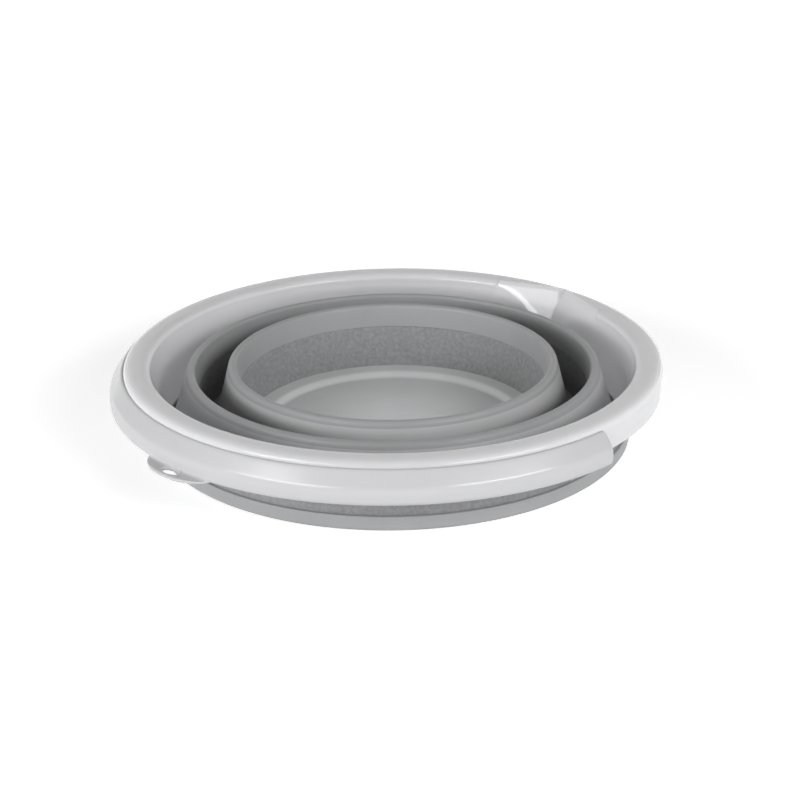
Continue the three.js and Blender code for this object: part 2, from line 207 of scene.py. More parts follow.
class RimSizes(bpy.types.PropertyGroup):
    """Sizes of the hard rim"""

    wall: length("Wall", "Thickness of the rim's wall", 0.002)
    crown_width: length("Crown width", "From the mouth to the crown's outside", 0.0162)
    crown_height: length("Crown height", "Height of the rounded crown", 0.0052)
    squareness: amount("Squareness", "2 is an ellipse, and more is squarer", 2.6)
    skirt_depth: length("Skirt depth", "From the crown's top to the skirt's foot", 0.0188)
    skirt_lean: length("Skirt lean", "How far the skirt leans in to its foot", 0.0006)
    collar_lean: length("Collar lean", "How far the collar leans in to its foot", 0.0078)
    foot_round: length("Foot round", "Rounding of the skirt's and collar's feet", 0.0006)
    rib_count: count("Ribs", "Ribs under the crown", 16)
    rib_wall: length("Rib wall", "Thickness of a rib", 0.0016)
    rib_depth: length("Rib depth", "From the crown's top to a rib's foot", 0.012)
    ear_radius: length("Ear radius", "Radius of the boss round a handle peg", 0.0085)
    ear_wall: length("Ear wall", "Thickness of that boss", 0.0042)
    hole_radius: length("Peg hole radius", "Radius of the hole for a handle peg", 0.0038)
    spout_width: length("Spout width", "Width of the spout at the mouth", 0.084)
    spout_reach: length("Spout reach", "How far the crease goes out past the mouth", 0.0126)
    spout_depth: length("Spout depth", "From the crown's top to the crease's foot", 0.033)
    spout_round: length("Spout round", "Rounding of the spout's outline", 0.002)
    crease_round: length("Crease round", "Rounding of the spout's crease", 0.001)
    notch_width: length("Notch width", "Width of the notch at the crease's top", 0.0058)
    notch_length: length("Notch length", "Length of that notch down the crease", 0.01)
    notch_depth: length("Notch depth", "Depth of that notch", 0.0016)


class SoftSizes(bpy.types.PropertyGroup):
    """Sizes of the soft walls and stiff hoops"""

    seam: length("Seam", "Gap between the collar and the wall bonded to it", 0.0003)
    sleeve_wall: length("Sleeve wall", "Thickness of the wall round the collar", 0.0015)
    wall: length("Wall", "Thickness of the other soft walls", 0.0018)
    inset: length("Inset", "How far a soft wall is set back from the band over it", 0.0008)
    fold_wall: length("Fold wall", "Thickness of a fold", 0.0014)
    hoop_width: length("Hoop width", "Width of a foot hoop", 0.0062)
    hoop_round: length("Hoop round", "Rounding of a foot hoop's underside", 0.0024)
    hoop_edge: length("Hoop edge", "Rounding of a foot hoop's top", 0.0007)
    lip_width: length("Lip width", "Width of a lip", 0.0055)
    lip_height: length("Lip height", "Height of a lip's overhang", 0.004)
    lip_outer_round: length("Lip outer round", "Rounding of a lip's outside", 0.0024)
    lip_inner_round: length("Lip inner round", "Rounding of a lip's inside", 0.0022)
    band_wall: length("Band wall", "Thickness of the band under a lip", 0.0034)
    edge: length("Edge", "Rounding of the other edges", 0.0004)
    lean: amount("Lean", "Lean of a tier's face, as a share of its depth", 0.157)


class FloorSizes(bpy.types.PropertyGroup):
    """Sizes of the hard floor"""

    wall: length("Wall", "Thickness of the floor", 0.0032)
    ledge: length("Ledge", "Width of the ledge round the floor", 0.0082)
    ledge_drop: length("Ledge drop", "How far the ledge falls towards the floor", 0.0008)
    step: length("Step", "Width of the step from the ledge to the floor", 0.0034)
    step_round: length("Step round", "Rounding of that step", 0.0016)
    edge_round: length("Edge round", "Rounding of the underside's outer edge", 0.002)
    recess: length("Recess", "Depth of the underside's recess", 0.0012)
    pad_radius: length("Pad radius", "Radius of the flat pad under the middle", 0.024)
    ring_width: length("Ring width", "Width of the foot ring", 0.013)
    rib_count: count("Ribs", "Ribs in the underside's recess", 12)
    rib_wall: length("Rib wall", "Thickness of such a rib", 0.002)
    edge: length("Edge", "Rounding of the small edges", 0.0004)


class HandleSizes(bpy.types.PropertyGroup):
    """Sizes of the handle and its hanging tab"""

    gap: length("Gap", "From the rim to the handle", 0.00025)
    height: length("Height", "Height of the handle's section", 0.0185)
    depth: length("Depth", "From the section's back to its outside", 0.00845)
    top_edge: length("Top edge", "Width of the section at its top", 0.001)
    top_round: length("Top round", "Rounding of the section's top", 0.0008)
    ridge_drop: length("Ridge drop", "From the section's top down to its ridge", 0.0076)
    ridge_set: length("Ridge set", "How far the ridge is set in from the outside", 0.0018)
    foot_round: length("Foot round", "Rounding of the section's foot", 0.0034)
    end_reach: length("End reach", "How far the ends go past the pivots", 0.0055)
    skin: length("Skin", "Thickness left outside a pocket", 0.003)
    flange: length("Flange", "Thickness left over and under a pocket", 0.0032)
    pocket_count: count("Pockets", "Pockets in the handle's back", 10)
    rib_wall: length("Rib wall", "Thickness of a rib between pockets", 0.0024)
    solid_end: length("Solid end", "Length at each end with no pocket", 0.024)
    peg_radius: length("Peg radius", "Radius of a snap peg", 0.0035)
    peg_head_radius: length("Peg head radius", "Radius of a snap peg's head", 0.0048)
    peg_head_length: length("Peg head length", "Length of a snap peg's head", 0.0036)
    tab_half: length("Tab half width", "Half of the tab's width at the handle", 0.026)
    tab_wall: length("Tab wall", "Thickness of the tab", 0.0022)
    tab_fillet: length("Tab fillet", "Run of the fillet from handle to tab", 0.0034)
    hole_half_width: length("Hole half width", "Half of the hanging hole's width", 0.007)
    hole_half_reach: length("Hole half reach", "Half of that hole's depth from the tip", 0.0036)
    hole_edge: length("Hole edge", "From that hole to the tab's tip", 0.0022)


class Finishes(bpy.types.PropertyGroup):
    """Colours of the bucket's finishes"""

    rim: colour("Rim", "Milky pale grey plastic", (0.54, 0.54, 0.55))
    handle: colour("Handle", "Pale glossy plastic", (0.515, 0.515, 0.525))
    hoop: colour("Hoops", "Smooth satin grey", (0.335, 0.338, 0.343))
    # The folds' own soft grey, lightened past the hoops' grey as painted light from the front
    fold: colour("Folds", "Smooth soft grey", (0.46, 0.463, 0.468))
    wall: colour("Soft walls", "Matte, grained soft grey", (0.285, 0.287, 0.291))
    floor: colour("Floor", "Glossy mid grey plastic", (0.4, 0.402, 0.406))


class StageSettings(bpy.types.PropertyGroup):
    """Camera and white surroundings"""

    azimuth: turn("Azimuth", "Where the camera stands round the bucket", 45.0)
    elevation: turn("Elevation", "How high the camera looks from", 22.443)
    roll: turn("Roll", "How far the camera leans to its right", 0.697)
    distance: length("Distance", "From the camera to its target", 1.24645)
    aside: length("Aside", "How far right of the axis the target is", 0.004026)
    target_height: length("Target height", "Height of the target", 0.018878)
    lens: amount("Lens", "Focal length in millimetres", 92.62)
    sky: amount("Sky", "Strength of the white surroundings", 0.07)
    floor_lift: amount("Ground lift", "White that the ground shows to the camera in its shadow", 0.6)
    floor_near: length("Ground near", "From the axis to where the ground starts to whiten", 0.24)
    floor_far: length("Ground far", "From the axis to where the ground is plain white", 0.55)


# Meshes


def line(bm, corners, closed=True):
    """New points, and an edge from each to the next."""
    points = [bm.verts.new(corner) for corner in corners]
    ends = points[1:] + (points[:1] if closed else [])
    return points, [bm.edges.new(pair) for pair in zip(points, ends)]


def only(kind, items):
    """The items of one kind."""
    return [item for item in items if isinstance(item, kind)]


def face_out(bm):
    """Turns faces to look the same way, out of a solid."""
    bmesh.ops.recalc_face_normals(bm, faces=bm.faces)


def full_turn(bm):
    """Spins a line right round Z."""
    bmesh.ops.spin(
        bm, geom=list(bm.verts) + list(bm.edges), cent=(0, 0, 0), axis=(0, 0, 1),
        angle=2 * pi, steps=ROUND_STEPS, use_merge=True)
    bmesh.ops.remove_doubles(bm, verts=bm.verts, dist=MERGE)
    face_out(bm)


def turned(outline):
    """A bmesh with an outline of (radius, height, rounding) corners turned about Z, each corner rounded."""
    bm = bmesh.new()
    on_axis = outline[0][0] == 0
    line(bm, [(radius, 0, height) for radius, height, _ in outline], not on_axis)
    full_turn(bm)
    for radius, height, rounding in outline:
        if rounding:
            round_ring(bm, radius, height, rounding)
    return bm


def round_ring(bm, radius, height, rounding):
    """Rounds the ring of edges at one radius and height."""
    def on_ring(vert):
        return abs(vert.co.xy.length - radius) < NEAR and abs(vert.co.z - height) < NEAR

    round_edges(bm, [edge for edge in bm.edges if all(on_ring(vert) for vert in edge.verts)], rounding)


def round_edges(bm, edges, rounding):
    """Bevels edges to a round."""
    bmesh.ops.bevel(
        bm, geom=edges, offset=rounding, offset_type="OFFSET", affect="EDGES",
        segments=CORNER_STEPS, profile=0.5, material=-1, clamp_overlap=True)


def swept(bm, geometry, stages):
    """Spins a line round Z in stages of (angle, steps), each from the end of the last."""
    for angle, steps in stages:
        made = bmesh.ops.spin(
            bm, geom=geometry, cent=(0, 0, 0), axis=(0, 0, 1), angle=angle, steps=steps)
        geometry = made["geom_last"]
    bmesh.ops.remove_doubles(bm, verts=bm.verts, dist=MERGE)
    return geometry


def swept_past_spout(outline):
    """An open skin with an outline of (radius, height) points turned about Z, finely by the spout at +Y."""
    bm = bmesh.new()
    edges = line(bm, [(radius, 0, height) for radius, height in outline], closed=False)[1]
    bmesh.ops.subdivide_edges(bm, edges=edges[-1:], cuts=COLLAR_CUTS)
    step = 2 * pi / ROUND_STEPS
    before = pi / 2 - SPOUT_BEARING
    after = pi + before
    side = SPOUT_BEARING - CREASE_BEARING
    stages = (
        (before, round(before / step)),
        (side, SPOUT_STEPS),
        (2 * CREASE_BEARING, CREASE_STEPS),
        (side, SPOUT_STEPS),
        (after, round(after / step)),
    )
    swept(bm, list(bm.verts) + list(bm.edges), stages)
    face_out(bm)
    return bm


def joined(*bodies):
    """One bmesh that holds several."""
    whole = bodies[0]
    for body in bodies[1:]:
        spare = bpy.data.meshes.new("spare")
        body.to_mesh(spare)
        body.free()
        whole.from_mesh(spare)
        bpy.data.meshes.remove(spare)
    return whole


def upright_cylinder(radius, depth, top_radius=None):
    """A bmesh of a closed cylinder or cone along Z, about the origin."""
    bm = bmesh.new()
    bmesh.ops.create_cone(
        bm, cap_ends=True, segments=PEG_STEPS, radius1=radius, radius2=top_radius or radius, depth=depth)
    return bm


def peg_along_x(low, high, radius, height, facing, high_radius=None):
    """A closed cylinder or cone along X between two distances from the axis, at +X or -X."""
    bm = upright_cylinder(radius, high - low, high_radius)
    place = Matrix.Rotation(facing, 4, "Z") @ Matrix.Translation(((low + high) / 2, 0, height))
    bmesh.ops.transform(bm, matrix=place @ Matrix.Rotation(pi / 2, 4, "Y"), verts=bm.verts)
    return bm


def rib_bearings(ribs):
    """Bearings of evenly spaced ribs, the first half a space from +X."""
    return [(rib + 0.5) / ribs * 2 * pi for rib in range(ribs)]


def rib_plate(outline, wall, bearing):
    """A plate with an outline of (radius, height) points that stands on a bearing from +X."""
    bm = bmesh.new()
    points = [bm.verts.new((radius, -wall / 2, height)) for radius, height in outline]
    face = bm.faces.new(points)
    made = bmesh.ops.extrude_face_region(bm, geom=[face])
    bmesh.ops.translate(bm, vec=(0, wall, 0), verts=only(BMVert, made["geom"]))
    bmesh.ops.rotate(bm, cent=(0, 0, 0), matrix=Matrix.Rotation(bearing, 3, "Z"), verts=bm.verts)
    face_out(bm)
    return bm


def object_of(name, bm):
    """A new mesh object at the origin."""
    mesh = bpy.data.meshes.new(name)
    bm.to_mesh(mesh)
    bm.free()
    piece = bpy.data.objects.new(name, mesh)
    bpy.context.scene.collection.objects.link(piece)
    return piece


def applied(piece):
    """Makes a piece's modifiers part of its mesh."""
    depsgraph = bpy.context.evaluated_depsgraph_get()
    old = piece.data
    piece.data = bpy.data.meshes.new_from_object(piece.evaluated_get(depsgraph))
    piece.modifiers.clear()
    bpy.data.meshes.remove(old)


def combine(piece, operation, bm):
    """Joins a solid to a piece or cuts it away."""
    tool = object_of("tool", bm)
    change = piece.modifiers.new("Combine", "BOOLEAN")
    change.operation = operation
    change.solver = "MANIFOLD"
    change.object = tool
    applied(piece)
    bpy.data.meshes.remove(tool.data)


def thicken(piece, wall):
    """Gives an open skin its wall, on the side that its faces turn away from."""
    shell = piece.modifiers.new("Wall", "SOLIDIFY")
    shell.thickness = wall
    shell.offset = -1
    shell.use_quality_normals = True
    applied(piece)


def dress(piece, material, slot, *nodes):
    """Smooths a finished mesh, gives it its finish and hides the CAD nodes that it stands for."""
    piece.data.materials.clear()
    piece.data.materials.append(material)
    piece.data.shade_smooth()
    piece.data.set_sharp_from_angle(angle=SHARP)
    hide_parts(*nodes)


def weigh_normals(piece):
    """Keeps broad faces flat beside their rounded edges."""
    weighted = piece.modifiers.new("Broad faces", "WEIGHTED_NORMAL")
    weighted.keep_sharp = True
    weighted.weight = 80


def moulding(name, bm, material, body, slot):
    """A rigid piece that rides on one body and stands for the CAD node of its name."""
    piece = object_of(name + "_moulding", bm)
    dress(piece, material, slot, name)
    weigh_normals(piece)
    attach(piece, body)
    return piece


def smooth_max(a, b, rounding):
    """The larger of two lengths, with a rounded change from one to the other."""
    near = max(rounding - abs(a - b), 0) / rounding
    return max(a, b) + near * near * rounding / 4


# Shapes that the pieces share


class RimShape:
    """Heights and radii of the rim, from its sizes and its place in the frame"""

    def __init__(self, sizes):
        low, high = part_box("rim")
        self.sizes = sizes
        self.radius = high.x
        self.top = high.z
        self.collar_foot = low.z
        self.skirt_foot = self.top - sizes.skirt_depth
        self.crown_base = self.top - sizes.crown_height
        self.crown_middle = self.radius - sizes.crown_width / 2
        self.mouth = self.radius - sizes.crown_width
        self.collar_slope = sizes.collar_lean / (self.crown_base - self.collar_foot)
        half = sizes.spout_width / 2
        foot_height = self.top - sizes.spout_depth
        foot = Vector((0, self.collar(foot_height), foot_height))
        crease = Vector((0, self.mouth + sizes.spout_reach, self.top)) - foot
        side = Vector((half, sqrt(self.mouth ** 2 - half ** 2), self.crown_base)) - foot
        self.face = crease.cross(side).normalized()
        self.face_offset = self.face.dot(foot)

    def collar(self, height):
        """Radius of the collar's inside."""
        return self.mouth - self.collar_slope * (self.crown_base - height)

    def crown(self, angle):
        """Radius and height on the crown's squared half ellipse, at an angle from its outside."""
        power = 2 / self.sizes.squareness
        across = copysign(abs(cos(angle)) ** power, cos(angle))
        up = abs(sin(angle)) ** power
        return (
            self.crown_middle + self.sizes.crown_width / 2 * across,
            self.crown_base + self.sizes.crown_height * up,
        )

    def crown_angle(self, radius):
        """The angle at which the crown has a radius."""
        across = (radius - self.crown_middle) / (self.sizes.crown_width / 2)
        return acos(copysign(min(abs(across), 1) ** (self.sizes.squareness / 2), across))

    def crown_cut(self, bearing):
        """The angle at which the spout's face cuts the crown on a bearing from +Y."""
        low, high = 0, pi
        for _ in range(CUT_HALVINGS):
            middle = (low + high) / 2
            radius, height = self.crown(middle)
            if radius > self.spout(bearing, height):
                low = middle
            else:
                high = middle
        return high

    def spout(self, bearing, height):
        """Distance from the axis to the spout's faces and notch on a bearing from +Y."""
        sizes = self.sizes
        aside = hypot(sin(bearing), sizes.crease_round / self.radius)
        across = self.face.x * aside + self.face.y * cos(bearing)
        reach = (self.face_offset - self.face.z * height) / across
        reach -= SPOUT_FALL * max(abs(reach * sin(bearing)) - sizes.spout_width / 2, 0)
        rise = (height - self.top + sizes.notch_length) / sizes.notch_length
        if rise > 0:
            inside = 1 - abs(reach * sin(bearing)) / (sizes.notch_width / 2 * rise)
            reach += sizes.notch_depth * rise * max(inside, 0)
        return reach

    def press_spout(self, bm, behind):
        """Pushes a wall out where the spout goes, to a distance behind the spout's faces."""
        for vert in bm.verts:
            bearing = atan2(vert.co.x, vert.co.y)
            if abs(bearing) < SPOUT_BEARING:
                radius = vert.co.xy.length
                pushed = smooth_max(radius, self.spout(bearing, vert.co.z) + behind, self.sizes.spout_round)
                vert.co.xy *= pushed / radius

    def cut_spout(self, bm):
        """Draws the rim's crown back to the spout's faces and the collar out to them, with rounded edges."""
        rounding = self.sizes.spout_round
        for vert in bm.verts:
            bearing = atan2(vert.co.x, vert.co.y)
            old = vert.co.xy.length
            on_skirt = old > self.crown_middle and vert.co.z < self.crown_base
            if abs(bearing) > SPOUT_BEARING or on_skirt:
                continue
            cut = self.crown_cut(bearing)
            ease = min((SPOUT_BEARING - abs(bearing)) / CREASE_BEARING, 1)
            if vert.co.z > self.crown_base - MERGE:
                radius, height = self.crown(self.crown_angle(old) * cut / pi)
                radius = smooth_max(radius, self.spout(bearing, height), rounding)
            else:
                edge = self.crown(cut)[1]
                down = (self.crown_base - vert.co.z) / (self.crown_base - self.collar_foot)
                height = edge - (edge - self.collar_foot) * down ** (1 + ease / 2)
                radius = smooth_max(self.collar(height), self.spout(bearing, height), rounding)
                if cut < pi - MERGE:
                    radius += max(1 - (edge - height) / rounding, 0) ** 2 * rounding / 4
            vert.co.xy *= radius / old
            vert.co.z = height


class TierShape:
    """Heights and radii of a tier under its lip"""

    def __init__(self, sizes, lip_node):
        low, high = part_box(lip_node)
        self.lean = sizes.lean
        self.outer = high.x
        self.inner = high.x - sizes.lip_width
        self.top = high.z
        self.lip_foot = high.z - sizes.lip_height
        self.band_foot = low.z

    def face(self, height):
        """Radius of the tier's inside."""
        return self.inner - self.lean * (self.top - height)


# Finishes


def finish(context, kind):
    """The material of one kind of piece."""
    return moulded(getattr(context.scene.bucket_finishes, kind), **FINISHES[kind])


def moulded(
        base, name, mottle=0.025, mottle_size=0.03, roughness=0.42, roughness_drift=0.04,
        grain_size=0.0012, grain_depth=0.00001, shine=0.5, milkiness=0):
    """A plastic or rubber with a fine grain, whose colour drifts by mottle, as a share, and its gloss too.

    shine is how strongly it mirrors, and milkiness how much of the light spreads inside it."""
    material = bpy.data.materials.new(name)
    material.use_nodes = True
    nodes = material.node_tree.nodes
    link = material.node_tree.links.new
    shader = valued(nodes["Principled BSDF"], {
        "Specular IOR Level": shine,
        "Subsurface Weight": milkiness,
        "Subsurface Radius": (1, 1, 1),
        "Subsurface Scale": MILK_DEPTH,
    })
    place = nodes.new("ShaderNodeTexCoord")
    tint = nodes.new("ShaderNodeValToRGB")
    for end, position, share in zip(tint.color_ramp.elements, TINT_ENDS, (1 - mottle, 1 + mottle)):
        end.color = (*(channel * share for channel in base), 1)
        end.position = position
    link(noise(nodes, link, place, mottle_size, detail=4), tint.inputs["Fac"])
    link(tint.outputs["Color"], shader.inputs["Base Color"])
    polish = valued(nodes.new("ShaderNodeMapRange"), {
        "To Min": roughness - roughness_drift,
        "To Max": roughness + roughness_drift,
    })
    link(noise(nodes, link, place, mottle_size * HAZE_SCALE, detail=2), polish.inputs["Value"])
    link(polish.outputs["Result"], shader.inputs["Roughness"])
    relief = valued(nodes.new("ShaderNodeBump"), {"Strength": 1, "Distance": grain_depth})
    link(noise(nodes, link, place, grain_size, detail=3), relief.inputs["Height"])
    link(relief.outputs["Normal"], shader.inputs["Normal"])
    return material


def valued(node, values):
    """Sets values on a node's sockets."""
    for socket, value in values.items():
        node.inputs[socket].default_value = value
    return node


def noise(nodes, link, place, size, detail):
    """The value of a cloud of patches of about one size, fixed to the piece."""
    cloud = valued(nodes.new("ShaderNodeTexNoise"), {"Scale": 1 / size, "Detail": detail})
    link(place.outputs["Object"], cloud.inputs["Vector"])
    return cloud.outputs["Fac"]


# Operators


class BUCKET_OT_rim(bpy.types.Operator):
    """Make the rim, with its spout, ribs and ears"""

    bl_idname = "bucket.rim"
    bl_label = "Rim"

    def execute(self, context):
        sizes = context.scene.bucket_rim
        shape = RimShape(sizes)
        outline = [(shape.radius - sizes.skirt_lean, shape.skirt_foot)]
        outline += [shape.crown(pi * step / CROWN_STEPS) for step in range(CROWN_STEPS + 1)]
        outline.append((shape.collar(shape.collar_foot), shape.collar_foot))
        bm = swept_past_spout(outline)
        shape.cut_spout(bm)
        face_up(bm)
        piece = object_of("rim_moulding", bm)
        thicken(piece, sizes.wall)
        round_feet(piece, shape)
        combine(piece, "UNION", rim_ribs(shape))
        pivot = handle_pivot(context.scene.bucket_handle)
        ear_face = shape.radius - context.scene.bucket_soft.seam
        ear_back = ear_face - sizes.ear_wall
        bodies = (
            ("UNION", ear_back, ear_face, sizes.ear_radius),
            ("DIFFERENCE", ear_back - sizes.wall, shape.radius + sizes.wall, sizes.hole_radius),
        )
        for operation, *body in bodies:
            combine(piece, operation, joined(*(peg_along_x(*body, pivot, facing) for facing in PIVOTS)))
        dress(piece, finish(context, "rim"), "rim_plastic", "rim")
        weigh_normals(piece)
        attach(piece, "rim")
        bpy.data.collections[MILKY].objects.link(piece)
        return {"FINISHED"}


def face_up(bm):
    """Turns an open skin so that its top faces up."""
    highest = max(bm.faces, key=lambda face: face.calc_center_median().z)
    if highest.normal.z < 0:
        bmesh.ops.reverse_faces(bm, faces=bm.faces)


def round_feet(piece, shape):
    """Rounds the edges of the skirt's foot and the collar's foot."""
    bm = bmesh.new()
    bm.from_mesh(piece.data)
    ring = []
    for edge in bm.edges:
        first, second = edge.verts
        foot = shape.skirt_foot if first.co.xy.length > shape.mouth else shape.collar_foot
        low = max(first.co.z, second.co.z) < foot + shape.sizes.wall / 2
        if low and abs(first.co.xy.length - second.co.xy.length) < NEAR:
            ring.append(edge)
    round_edges(bm, ring, shape.sizes.foot_round)
    bm.to_mesh(piece.data)
    bm.free()


def rim_ribs(shape):
    """Plates across the channel under the crown, each set into the walls round it."""
    sizes = shape.sizes
    middle = sizes.wall / 2
    foot = shape.top - sizes.rib_depth
    reach = sizes.crown_width / 4
    outside = shape.radius - sizes.skirt_lean - middle
    under_top = shape.top - middle

    def inside(bearing, height):
        off_spout = remainder(pi / 2 - bearing, 2 * pi)
        spout = shape.spout(off_spout, height) if abs(off_spout) < SPOUT_BEARING else 0
        return max(shape.collar(height), spout) + middle

    return joined(*(rib_plate([
        (inside(bearing, foot), foot),
        (outside, foot),
        (outside, shape.crown_base),
        (shape.crown_middle + reach, under_top),
        (max(shape.crown_middle - reach, inside(bearing, under_top)), under_top),
        (inside(bearing, shape.crown_base), shape.crown_base),
    ], sizes.rib_wall, bearing) for bearing in rib_bearings(sizes.rib_count)))


class BUCKET_OT_walls(bpy.types.Operator):
    """Make the matte soft walls"""

    bl_idname = "bucket.walls"
    bl_label = "Soft walls"

    def execute(self, context):
        sizes = context.scene.bucket_soft
        material = finish(context, "wall")
        rim = RimShape(context.scene.bucket_rim)
        low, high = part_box("upper_wall")
        behind = rim.sizes.wall + sizes.seam
        foot = low.z - BOND
        bm = swept_past_spout([
            (rim.collar(high.z) + behind, high.z),
            (rim.collar(foot) + behind, foot),
        ])
        rim.press_spout(bm, behind)
        face_in(bm)
        sleeve = object_of("upper_wall_moulding", bm)
        thicken(sleeve, sizes.sleeve_wall)
        dress(sleeve, material, "soft_wall", "upper_wall")
        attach(sleeve, "rim")
        for body, *_ in TIERS:
            name = body + "_wall"
            tier = TierShape(sizes, body + "_lip_hoop")
            low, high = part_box(name)
            foot = low.z - BOND
            top = high.z + BOND
            bm = turned([
                (tier.face(foot) + sizes.inset, foot, 0),
                (tier.face(foot) + sizes.inset + sizes.wall, foot, 0),
                (tier.face(top) + sizes.inset + sizes.wall, top, 0),
                (tier.face(top) + sizes.inset, top, 0),
            ])
            moulding(name, bm, material, body, "soft_wall")
        return {"FINISHED"}


def face_in(bm):
    """Turns an open skin so that it faces the axis."""
    first = next(iter(bm.faces))
    if first.normal.dot(first.calc_center_median()) > 0:
        bmesh.ops.reverse_faces(bm, faces=bm.faces)


class BUCKET_OT_hoops(bpy.types.Operator):
    """Make the smooth lip and foot hoops"""

    bl_idname = "bucket.hoops"
    bl_label = "Hoops"

    def execute(self, context):
        sizes = context.scene.bucket_soft
        material = finish(context, "hoop")
        for _, body, _, name in TIERS:
            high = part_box(name)[1]
            inner = high.x - sizes.hoop_width
            bm = turned([
                (inner, 0, sizes.hoop_round),
                (high.x, 0, sizes.hoop_round),
                (high.x, high.z, sizes.hoop_edge),
                (inner, high.z, sizes.hoop_edge),
            ])
            moulding(name, bm, material, body, "hoop_plastic")
        for body, _, fold, _ in TIERS:
            name = body + "_lip_hoop"
            tier = TierShape(sizes, name)
            low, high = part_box(fold)
            fold_slope = (high.x - tier.outer) / (high.z - low.z)
            bm = turned([
                (tier.face(tier.band_foot), tier.band_foot, sizes.edge),
                (tier.face(tier.band_foot) + sizes.band_wall, tier.band_foot, sizes.edge),
                (tier.face(tier.lip_foot) + sizes.band_wall, tier.lip_foot, 0),
                (tier.outer, tier.lip_foot, 0),
                (tier.outer - fold_slope * sizes.lip_height, tier.top, sizes.lip_outer_round),
                (tier.inner, tier.top, sizes.lip_inner_round),
            ])
            moulding(name, bm, material, body, "hoop_plastic")
        return {"FINISHED"}


class BUCKET_OT_folds(bpy.types.Operator):
    """Make the two soft folds, fixed in their folded shape; in the real bucket they turn over when it opens"""

    bl_idname = "bucket.folds"
    bl_label = "Folds"

    def execute(self, context):
        sizes = context.scene.bucket_soft
        material = finish(context, "fold")
        for inner_body, outer_body, name, hoop in TIERS:
            low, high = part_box(name)
            tier = TierShape(sizes, inner_body + "_lip_hoop")
            foot = high.x
            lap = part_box(hoop)[1].x - sizes.hoop_width + BOND
            top = tier.lip_foot + BOND
            bm = bmesh.new()
            edges = line(bm, [
                (foot - sizes.fold_wall, 0, low.z),
                (lap, 0, low.z),
                (lap, 0, low.z + sizes.fold_wall),
                (foot, 0, low.z + sizes.fold_wall),
                (tier.outer, 0, tier.lip_foot),
                (tier.outer - BOND / 2, 0, top),
                (tier.outer - BOND / 2 - sizes.fold_wall, 0, top),
            ])[1]
            long_sides = [edge for edge in edges if edge.calc_length() > sizes.lip_height * 2]
            bmesh.ops.subdivide_edges(bm, edges=long_sides, cuts=FOLD_CUTS)
            full_turn(bm)
            piece = object_of(name + "_web", bm)
            dress(piece, material, "soft_wall", name)
            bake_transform(piece)
        return {"FINISHED"}


class BUCKET_OT_floor(bpy.types.Operator):
    """Make the hard floor, with its ledge, underside ribs and foot ring"""

    bl_idname = "bucket.floor"
    bl_label = "Floor"

    def execute(self, context):
        sizes = context.scene.bucket_floor
        soft = context.scene.bucket_soft
        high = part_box("base_floor")[1]
        wall = high.x - soft.inset - soft.wall
        ring = high.x - sizes.ring_width
        ledge = wall - sizes.ledge
        ledge_height = high.z - sizes.ledge_drop
        bm = turned([
            (0, 0, 0),
            (sizes.pad_radius, 0, sizes.edge),
            (sizes.pad_radius, sizes.recess, sizes.edge),
            (ring, sizes.recess, sizes.edge),
            (ring, 0, sizes.edge),
            (high.x, 0, sizes.edge_round),
            (high.x, high.z, sizes.edge),
            (wall, high.z, sizes.edge),
            (ledge, ledge_height, sizes.step_round),
            (ledge - sizes.step, sizes.wall, sizes.step_round),
            (0, sizes.wall, 0),
        ])
        piece = object_of("base_floor_moulding", bm)
        outline = (
            (sizes.pad_radius - sizes.rib_wall, 0),
            (ring + sizes.rib_wall, 0),
            (ring + sizes.rib_wall, sizes.wall / 2),
            (sizes.pad_radius - sizes.rib_wall, sizes.wall / 2),
        )
        ribs = (rib_plate(outline, sizes.rib_wall, bearing) for bearing in rib_bearings(sizes.rib_count))
        combine(piece, "UNION", joined(*ribs))
        dress(piece, finish(context, "floor"), "base_plastic", "base_floor")
        weigh_normals(piece)
        bpy.data.collections[WELL].objects.link(piece)
        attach(piece, "base")
        return {"FINISHED"}


def handle_pivot(sizes):
    """Height of the handle's pivots."""
    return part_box("handle")[1].z - sizes.height / 2


def curve(start, control, end, steps):
    """Points of a curve from start towards end, which is left out, drawn to one control point."""
    for step in range(steps):
        along = step / steps
        yield start.lerp(control, along).lerp(control.lerp(end, along), along)


